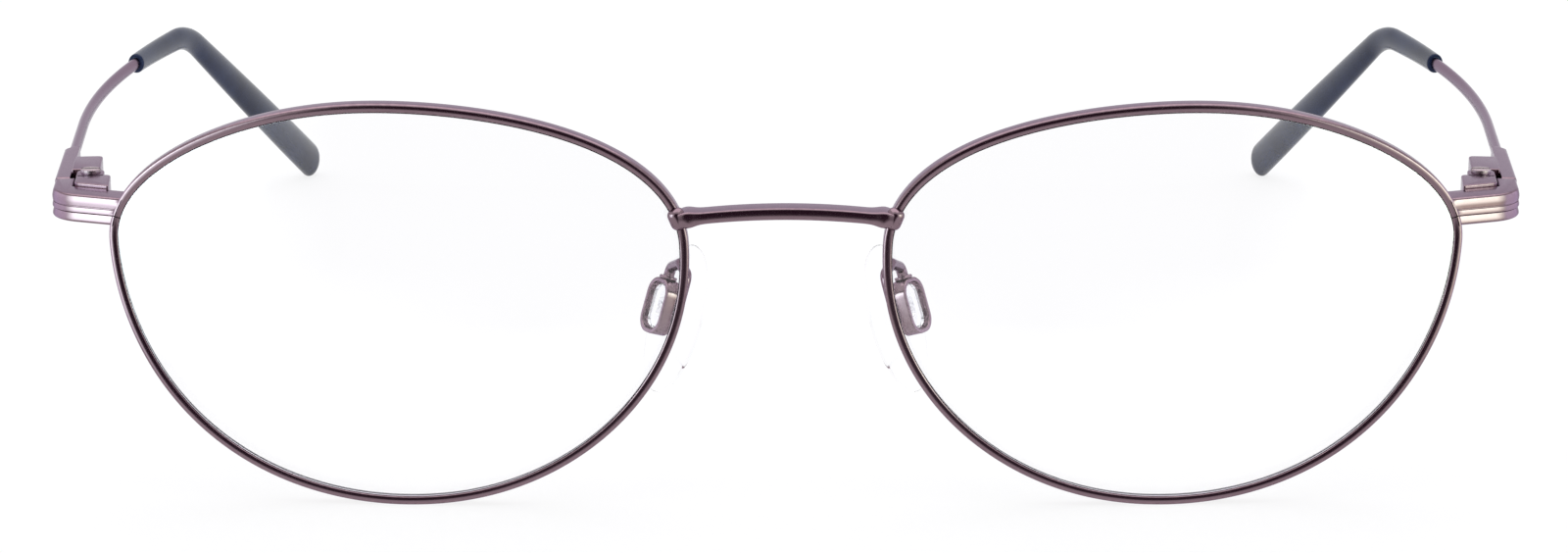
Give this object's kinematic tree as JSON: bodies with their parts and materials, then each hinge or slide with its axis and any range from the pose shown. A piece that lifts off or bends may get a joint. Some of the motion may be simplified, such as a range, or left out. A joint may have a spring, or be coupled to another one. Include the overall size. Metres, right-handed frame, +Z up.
{
  "type": "eyeglasses",
  "caption": "Oval metal eyeglasses with clear lenses, an arched bridge, folding temples with dark tips, and clear nose pads on bent arms.",
  "frame": {"origin": "middle of the bottom of the overall box, on the table that the rims and the tips stand on", "axes": "+X to the right of someone who looks at the front of the glasses, +Y from the front to the ears, +Z up"},
  "size_m": [0.1442, 0.1478, 0.037],
  "materials": {
    "frame_metal": "satin mauve-brown enamel over a copper-nickel alloy",
    "screw_steel": "plated steel, toned to the frame",
    "lens": "polished, clear",
    "tip_plastic": "glossy, near black",
    "clear_plastic": "clear, polished",
    "clear_silicone": "clear, soft and glossy"
  },
  "bodies": {
    "front": {"bridge": "frame_metal", "left_rim": "frame_metal", "left_lens": "lens", "left_upper_endpiece": "frame_metal", "left_lower_endpiece": "frame_metal", "left_closing_screw": "screw_steel", "left_front_hinge_leaf": "frame_metal", "left_hinge_screw": "screw_steel", "left_pad_arm": "frame_metal", "left_pad_box": "frame_metal", "right_rim": "frame_metal", "right_lens": "lens", "right_upper_endpiece": "frame_metal", "right_lower_endpiece": "frame_metal", "right_closing_screw": "screw_steel", "right_front_hinge_leaf": "frame_metal", "right_hinge_screw": "screw_steel", "right_pad_arm": "frame_metal", "right_pad_box": "frame_metal"},
    "left_temple": {"left_temple_hinge_leaf": "frame_metal", "left_temple_plate": "frame_metal", "left_temple_wire": "frame_metal", "left_temple_tip": "tip_plastic"},
    "right_temple": {"right_temple_hinge_leaf": "frame_metal", "right_temple_plate": "frame_metal", "right_temple_wire": "frame_metal", "right_temple_tip": "tip_plastic"},
    "left_pad": {"left_pad_insert": "clear_plastic", "left_nose_pad": "clear_silicone"},
    "right_pad": {"right_pad_insert": "clear_plastic", "right_nose_pad": "clear_silicone"}
  },
  "joints": [
    {"name": "left_temple_hinge", "type": "hinge", "parent": "front", "child": "left_temple", "pos_m": [-0.0642, -0.05908, 0.02647], "axis": [0, 0, -1], "range_deg": [0, 90]},
    {"name": "right_temple_hinge", "type": "hinge", "parent": "front", "child": "right_temple", "pos_m": [0.0642, -0.05908, 0.02647], "axis": [0, 0, 1], "range_deg": [0, 86]},
    {"name": "left_pad_rock", "type": "hinge", "parent": "front", "child": "left_pad", "pos_m": [-0.01142, -0.06393, 0.01656], "axis": [-0.5, 0.866, 0], "range_deg": [-4, 4]},
    {"name": "right_pad_rock", "type": "hinge", "parent": "front", "child": "right_pad", "pos_m": [0.01142, -0.06393, 0.01656], "axis": [0.5, 0.866, 0], "range_deg": [-4, 4]}
  ]
}
